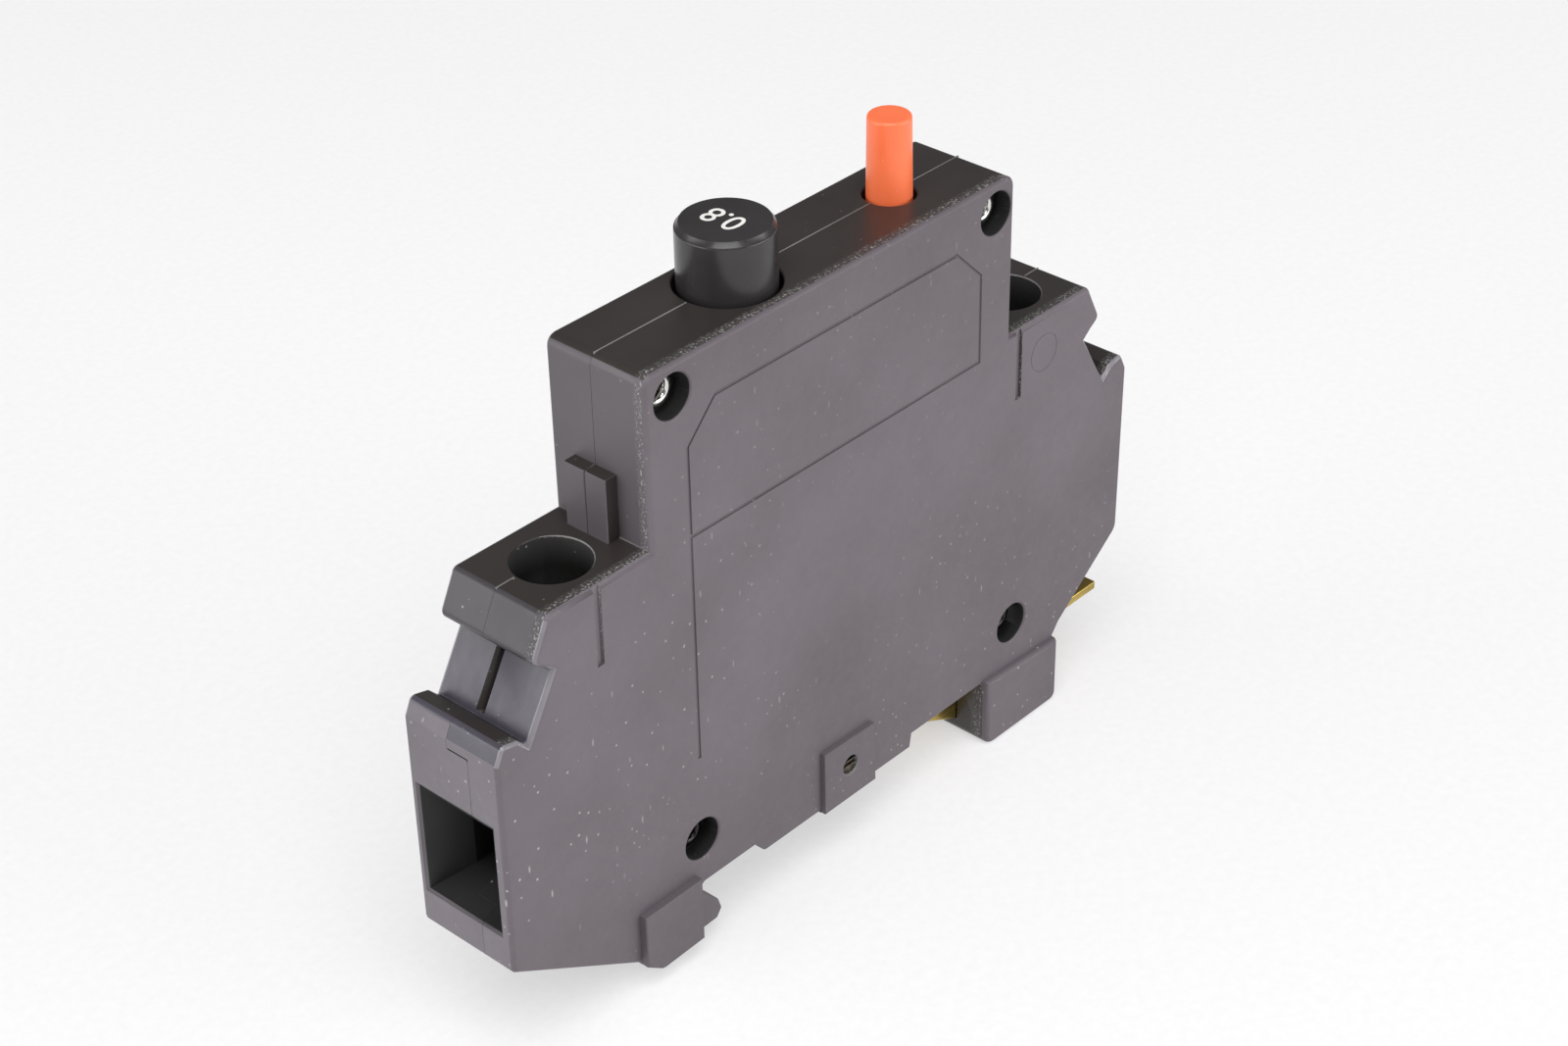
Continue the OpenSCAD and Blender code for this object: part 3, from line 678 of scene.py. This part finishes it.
for x, z in RIVETS:
    ease_mouth([near_half], (x, -HALF_W, z), "Y", RECESS_R, 0.3)
    ease_mouth([far_half], (x, HALF_W, z), "-Y", RECESS_R, 0.3)
ease_mouth([near_half], (ADJUSTER[0], -HALF_W - 0.6, ADJUSTER[1]), "Y", 1.1, 0.2)
for side in (-1, 1):
    ease_mouth([near_half, far_half], (side * TERMINAL_X, 0, WING_Z), "Z", DRIVER_R, 0.14)
ease_mouth([near_half, far_half], (RESET_X, SEAM_Y, TOP_Z), "Z", RESET_HOLE_R, 0.25)
ease_mouth([near_half, far_half], (RELEASE_X, SEAM_Y, TOP_Z), "Z", RELEASE_HOLE_R, 0.2)

# the wire mouths flare outwards
for side in (-1, 1):
    low_x, high_x = sorted((side * 46.15, side * END_X))
    for half in (near_half, far_half):
        flare = block("flare_tool", (low_x, -4.8, 17.1), (high_x, 5.2, 29.6))
        into_mesh(flare, "FACE")
        choose(flare, "FACE", lambda c, n: abs(c.x) > 46.6)
        mouth = (side * END_X * MM, 0.2 * MM, 23.35 * MM)
        bpy.ops.transform.resize(value=(1, 1.11, 1.088), center_override=mouth)
        out_of_mesh()
        carve(half, flare)

# a fine slit under the shoulder of each end, and the round mark of an ejector pin
for side in (-1, 1):
    low_x, high_x = sorted((side * 45.5, side * END_X))
    carve(near_half, block("slit_tool", (low_x, -2.3, 35.93), (high_x, 0.35, 36.25)))
EJECTOR = [(2.05, -0.035), (2.15, -0.035), (2.18, 0.2), (2.02, 0.2), (2.05, -0.035)]
carve(near_half, turned("ring_tool", EJECTOR, (31.6, -HALF_W, 45.4), "Y", 64, closed=True))

# the order in which a half's finishes are laid on after its side finish
SIDE, LEDGE, WALL_LIT, BORE_SHADE, DRIVER_SHADE, FLASH_HIGHLIGHT, RIM_HIGHLIGHT, NOTCH_REFLECTION, END_LIT, WING_LIT = range(10)
REST = ("ledges", "walls", "bores", "driver_holes_shaded", "seam_highlight", "glossy_rim_highlight",
        "notch_reflection", "end_face_lit", "wing_face_lit")


def dress_half(half, side_finish):
    """Spark finish on the big flat side and its rounded edge, smoother finishes on the rest, with
    painted shade in the bores, painted highlights on the seam, lit lips and rim, a painted
    reflection in the notches and lighter painted copies on the ends, wings and walls.
    """
    half.data.materials.clear()
    for finish in (side_finish,) + REST:
        half.data.materials.append(FINISHES[finish])
    for face in half.data.polygons:
        at, n = face.center / MM, face.normal
        outer_rim = abs(at.y) > 5.4
        from_terminal = math.hypot(abs(at.x) - TERMINAL_X, at.y)
        in_recess = abs(at.y) < HALF_W - 0.2 and any(
            math.hypot(at.x - x, at.z - z) < RECESS_R + 0.02 for x, z in RIVETS)
        in_funnel = 38 < abs(at.x) < 46.2 and -4.9 < at.y < 5.3 and 17 < at.z < 29.7
        in_slit = 45.4 < abs(at.x) < 46.35 and -2.35 < at.y < 0.4 and 35.9 < at.z < 36.3
        outward = n.x * at.x > 0 and abs(n.y) < 0.2
        in_notch = abs(at.x) > 38.6 and 36.6 < at.z < 44.4 and outward
        on_wing = abs(at.x) > 38.8 and 44.4 < at.z < WING_Z - 0.05 and outward
        on_seam = (SEAM_Y - 0.2 < at.y < SEAM_Y + 0.03 and at.z > 35
                   and n.z > 0.3 and 0.15 < abs(n.y) < 0.95)
        lit_lip = (DRIVER_R < from_terminal < DRIVER_R + 0.3 and at.z > WING_Z - 0.3
                   and abs(n.z) < 0.95 and n.x < -0.2 and n.y > -0.5)
        # the pale ring round the adjuster's mouth, given the seam's painted-highlight finish
        pale_adjuster_ring = (math.hypot(at.x - ADJUSTER[0], at.z - ADJUSTER[1]) < 1.32 and at.y < -6.6
                and 0.1 < abs(n.y) < 0.97)
        on_rim = (abs(at.x) > 38.6 and 36.6 < at.z < 48.6 and 0.35 < abs(n.y) < 0.85
                  and outer_rim)
        if from_terminal < DRIVER_R + 0.02 and 40 < at.z < WING_Z - 0.2:
            face.material_index = DRIVER_SHADE
        elif in_recess or in_funnel or in_slit:
            face.material_index = BORE_SHADE
        elif on_seam or lit_lip or pale_adjuster_ring:
            face.material_index = FLASH_HIGHLIGHT
        elif on_rim:
            face.material_index = RIM_HIGHLIGHT
        elif abs(at.y) > HALF_W - 0.1 or (abs(n.y) > 0.45 and outer_rim):
            face.material_index = SIDE
        elif abs(n.x) > 0.9 and abs(at.x) > 46.0:
            face.material_index = END_LIT
        elif on_wing:
            face.material_index = WING_LIT
        elif in_notch:
            face.material_index = NOTCH_REFLECTION
        elif abs(n.x) > 0.6 and abs(at.x) > 25.5 and n.x * at.x > 0:
            face.material_index = WALL_LIT
        else:
            face.material_index = LEDGE


for half, node in ((near_half, "near_shell"), (far_half, "far_shell")):
    into_mesh(half, "VERT")
    weld(WELD_HALF)
    bpy.ops.mesh.dissolve_limited(angle_limit=math.radians(0.4))
    out_of_mesh()
    smooth(half, 35)
    weigh_normals(half)
    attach(half, "housing")
    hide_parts(node)
dress_half(near_half, "near_side")
dress_half(far_half, "far_side")


# ---- the small parts ----

def seat(piece, finish, body, node=None):
    """Dresses a finished piece and hangs it on its body."""
    piece.data.materials.clear()
    piece.data.materials.append(FINISHES[finish])
    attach(piece, body)
    if node:
        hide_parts(node)


def eased(node, name, finish, body, width, steps=2):
    """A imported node's own shape with its edges broken."""
    piece = from_node(node, name)
    into_mesh(piece, "VERT")
    bpy.ops.mesh.select_all(action="SELECT")
    bpy.ops.mesh.dissolve_limited(angle_limit=math.radians(1.0))
    out_of_mesh()
    m = piece.modifiers.new("broken_edges", "BEVEL")
    m.width = width * MM
    m.segments = steps
    m.limit_method = "ANGLE"
    m.angle_limit = math.radians(35)
    bpy.ops.object.modifier_apply(modifier=m.name)
    smooth(piece, 35)
    weigh_normals(piece)
    seat(piece, finish, body, node)


def cross_pin(piece, radius, x, z, y0, y1):
    """Joins a round pin along Y to the foot of a button."""
    edge = 0.15
    profile = [
        (radius - edge, -y1), (radius, -y1 + edge), (radius, -y0 - edge), (radius - edge, -y0),
    ]
    place = (x, 0, z)
    carve(piece, turned("foot_pin", profile, place, "Y", 48), "UNION")


reset_cap = turned("reset_cap", [
    (1.65, 40.5), (1.8, 40.65), (1.8, 52.7), (2.5, 52.7), (2.6, 52.8), (2.6, 53.8),
    (2.5, 53.9), (1.8, 53.9), (1.8, 63.0), (4.65, 63.0), (4.8, 63.15), (4.8, 73.62),
    (4.79, 73.70), (4.76, 73.76), (4.715, 73.79), (4.69, 73.80), (4.67, 73.82),
    (4.41, 74.22), (4.37, 74.28), (4.3, RESET_TOP),
], (RESET_X, SEAM_Y, 0), "Z", 128)
cross_pin(reset_cap, 1.2, RESET_X, 40.49, -0.7, 1.7)
smooth(reset_cap, 26)
weigh_normals(reset_cap)
seat(reset_cap, "reset_plastic", "reset", "reset_button")

release_pin = turned("release_pin", [
    (1.3, 48.2), (1.3, 64.7), (3.1, 64.7), (3.2, 64.8), (3.2, 65.8), (3.1, 65.9),
    (2.3, 65.9), (2.3, 68.0), (2.2, 76.05),
] + round_over(2.2, RELEASE_TOP, 0.35)[1:], (RELEASE_X, SEAM_Y, 0), "Z", 96)
cross_pin(release_pin, 1.0, RELEASE_X, 48.15, -0.5, 1.5)
smooth(release_pin, 32)
weigh_normals(release_pin)
seat(release_pin, "release_plastic", "release", "release_button")

# the printed rating: a generic number that reads along Y
DIGIT_WIDTH, DIGIT_HEIGHT = 4.2, 2.7
pick_nothing()
bpy.ops.object.text_add(location=(0, 0, 0))
digits = bpy.context.object
digits.name = "rating_digits"
digits.data.body = "0.8"
digits.data.size = 3.6 * MM
digits.data.offset = 0.012 * MM
digits.data.extrude = 0.011 * MM
bpy.ops.object.convert(target="MESH")
digits = bpy.context.object
digits.scale = (DIGIT_WIDTH * MM / digits.dimensions.x,
                DIGIT_HEIGHT * MM / digits.dimensions.y, 1)
digits.rotation_euler = (0, 0, math.radians(90))
settle(digits)
into_mesh(digits, "VERT")
weld(WELD)
corners = [v.co for v in digits.data.vertices]
foot_x, start_y = max(c.x for c in corners), min(c.y for c in corners)
bpy.ops.transform.translate(value=(
    (RESET_X + 1.25) * MM - foot_x, (SEAM_Y - 1.9) * MM - start_y, 74.305 * MM))
bpy.ops.mesh.normals_make_consistent(inside=False)
out_of_mesh()
seat(digits, "digit_ink", "reset")

first_rivet = turned("rivet_top_left", [
    (0.8, -3.6), (0.84, -4.25), (0.98, -4.46), (1.25, -4.55), (1.55, -4.5), (1.82, -4.33),
    (1.95, -4.15), (1.95, -4.06), (1.2, -4.06), (1.2, 4.66), (1.95, 4.66), (1.95, 4.82),
    (1.85, 5.0), (1.6, 5.12), (1.2, 5.15), (0.95, 5.1), (0.82, 4.95), (0.8, 4.7), (0.8, -3.6),
], (0, 0, 0), "-Y", 64, closed=True)
smooth(first_rivet, 40)
for (x, z), corner in zip(RIVETS[1:], ("top_right", "low_left", "low_right")):
    rivet = copy_of(first_rivet, "tube_rivet_" + corner)
    rivet.location = (x * MM, 0, z * MM)
    settle(rivet)
    seat(rivet, "rivet_metal", "housing", "rivet_" + corner)
first_rivet.name = "tube_rivet_top_left"
first_rivet.location = (RIVETS[0][0] * MM, 0, RIVETS[0][1] * MM)
settle(first_rivet)
seat(first_rivet, "rivet_metal", "housing", "rivet_top_left")

thread = [(1.74 if i % 2 else 2.0, 28.1 + 0.35 * i) for i in range(32)]
left_screw = turned("clamp_screw_left", [(1.5, 27.55)] + thread + [
    (1.8, 39.45), (3.3, 39.45), (3.5, 39.65), (3.5, 42.05), (3.38, 42.3), (3.1, 42.45),
    (3.0, 42.45),
], (-TERMINAL_X, 0, 0), "Z", 64)
for half_x, half_y in ((4.0, 0.5), (0.5, 4.0)):
    slot_tool = block("slot_tool", (-TERMINAL_X - half_x, -half_y, 41.15),
                      (-TERMINAL_X + half_x, half_y, 43.0))
    carve(left_screw, slot_tool)
smooth(left_screw, 30)
weigh_normals(left_screw)
right_screw = copy_of(left_screw, "clamp_screw_right")
right_screw.location = (2 * TERMINAL_X * MM, 0, 0)
settle(right_screw)
seat(left_screw, "screw_steel", "left_screw", "screw_left")
seat(right_screw, "screw_steel", "right_screw", "screw_right")

# the fine bead of flash the mould left along the top seam, given the pale seam finish as a painted
# highlight
BEADS = (
    ("seam_bead_left_wing", -39.0, -36.75, WING_Z),
    ("seam_bead_left", -25.4, RESET_X - 5.45, TOP_Z),
    ("seam_bead_middle", RESET_X + 5.45, RELEASE_X - 2.9, TOP_Z),
    ("seam_bead_right", RELEASE_X + 2.9, 25.4, TOP_Z),
    ("seam_bead_right_wing", 36.75, 39.0, WING_Z),
)
for name, x0, x1, z in BEADS:
    bead = block(name, (x0, SEAM_Y - 0.07, z - 0.2), (x1, SEAM_Y + 0.07, z + 0.04),
                 bevel=0.02, steps=2)
    smooth(bead, 40)
    seat(bead, "seam_highlight", "housing")

for row in (
    ("rail_latch", "sprung_rail_latch", "latch_brass", "latch", 0.14, 3),
    ("calibration_screw", "sealed_adjuster", "calibration_metal", "adjuster", 0.06),
    ("cage_left", "clamp_cage_left", "cage_steel", "left_cage", 0.15),
    ("cage_right", "clamp_cage_right", "cage_steel", "right_cage", 0.15),
    ("bar_left", "terminal_bar_left", "bar_metal", "housing", 0.1),
    ("bar_right", "terminal_bar_right", "bar_metal", "housing", 0.1),
):
    eased(*row)


# ---- the table, the lights and the camera ----

pick_nothing()
bpy.ops.mesh.primitive_plane_add(size=3.0, location=(0, 0, 0))
table = bpy.context.object
table.name = "table_top"
table.data.materials.append(pale_paper("pale paper"))


def softbox(name, place, target, size, power):
    """A rectangular area light aimed at the target."""
    pick_nothing()
    bpy.ops.object.light_add(type="AREA", location=place)
    lamp = bpy.context.object
    lamp.name = name
    lamp.data.shape = "RECTANGLE"
    lamp.data.size, lamp.data.size_y = size
    lamp.data.energy = power
    aim = Vector(target) - Vector(place)
    lamp.rotation_euler = aim.to_track_quat("-Z", "Y").to_euler()


softbox("tent_over", (-0.35, -0.35, 0.95), (0, 0, 0.03), (0.9, 0.9), 10.5)
softbox("tent_left", (-0.75, 0.35, 0.28), (0, 0, 0.04), (0.8, 0.5), 4.0)
softbox("tent_front", (0.45, -0.8, 0.28), (0, 0, 0.04), (0.8, 0.5), 5)

room = bpy.data.worlds.new("room")
bpy.context.scene.world = room
room.use_nodes = True
sky = room.node_tree.nodes["Background"]
sky.inputs["Color"].default_value = (1, 1, 1, 1)
sky.inputs["Strength"].default_value = 0.22

AZIMUTH, ELEVATION, ROLL = map(math.radians, (-47.290, 33.330, -1.119))
DISTANCE, LENS, SENSOR = 0.29962, 69.767, 36.0
TARGET = Vector((-0.00155, 0.0, 0.03825))
back = Vector((
    math.sin(AZIMUTH) * math.cos(ELEVATION),
    -math.cos(AZIMUTH) * math.cos(ELEVATION),
    math.sin(ELEVATION),
))
right = (-back).cross(Vector((0, 0, 1))).normalized()
up = right.cross(-back)
right, up = (right * math.cos(ROLL) + up * math.sin(ROLL),
             up * math.cos(ROLL) - right * math.sin(ROLL))
pick_nothing()
bpy.ops.object.camera_add()
camera = bpy.context.object
camera.name = "studio_camera"
turn = Matrix((right, up, back)).transposed().to_4x4()
camera.matrix_world = Matrix.Translation(TARGET + back * DISTANCE) @ turn
camera.data.sensor_fit = "HORIZONTAL"
camera.data.sensor_width = SENSOR
camera.data.lens = LENS
camera.data.clip_start = 0.01
camera.data.clip_end = 20
bpy.context.scene.camera = camera
bpy.context.scene.view_settings.view_transform = "Standard"
